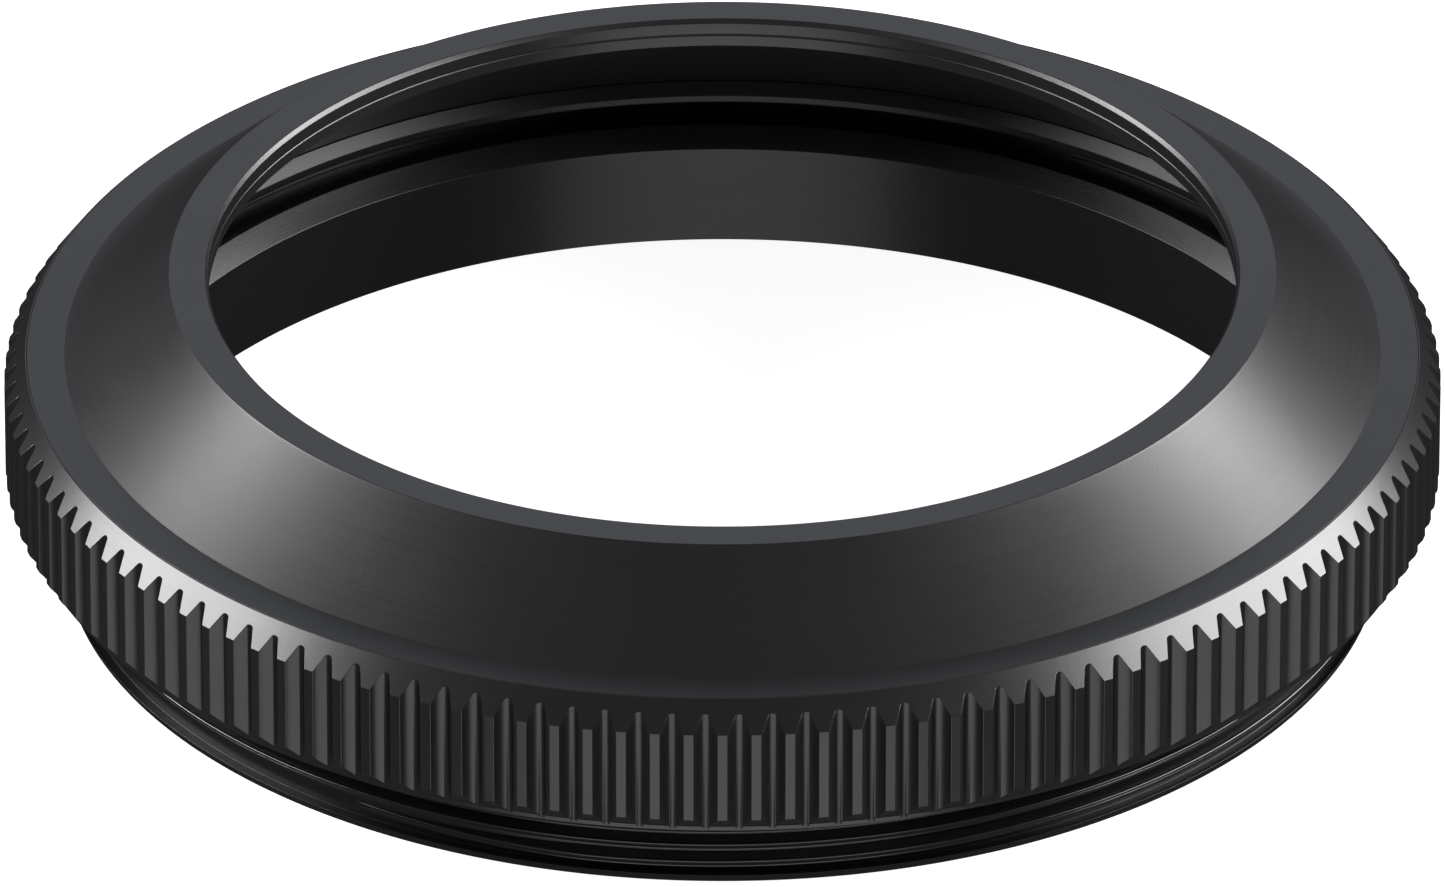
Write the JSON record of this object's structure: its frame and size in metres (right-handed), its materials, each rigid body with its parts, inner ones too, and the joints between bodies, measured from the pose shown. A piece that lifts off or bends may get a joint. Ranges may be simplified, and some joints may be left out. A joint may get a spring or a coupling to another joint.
{
  "type": "screw-in lens hood",
  "caption": "Round screw-in metal lens hood: knurled grip ring and conical front on a threaded mount ring that it unscrews from.",
  "frame": {"origin": "centre of the rear edge, on the hood's axis, at the bottom of the part", "axes": "+Z along the axis, towards the front of the hood; X and Y across the rings"},
  "size_m": [0.0564, 0.0564, 0.0125],
  "materials": {
    "anodised_shell": "satin black anodised, turned",
    "anodised_grip": "satin black anodised, knurled",
    "anodised_thread": "black anodised, bright worn thread crests",
    "matt_baffle": "matt black with a polished lip"
  },
  "bodies": {
    "mount": {"mount_ring": "anodised_thread"},
    "lift": {"baffle_ring": "matt_baffle"},
    "hood": {"hood_shell": "anodised_shell", "grip_ring": "anodised_grip"}
  },
  "joints": [
    {"name": "hood_lift", "type": "slide", "parent": "mount", "child": "lift", "axis": [0, 0, 1], "range_m": [0, 0.001]},
    {"name": "hood_turn", "type": "hinge", "parent": "lift", "child": "hood", "pos_m": [0, 0, 0.006], "axis": [0, 0, 1], "range_deg": [0, 720]}
  ],
  "couplings": [
    {"joint": "hood_lift", "follows": "hood_turn", "m_per_rad": 0.000079577}
  ]
}
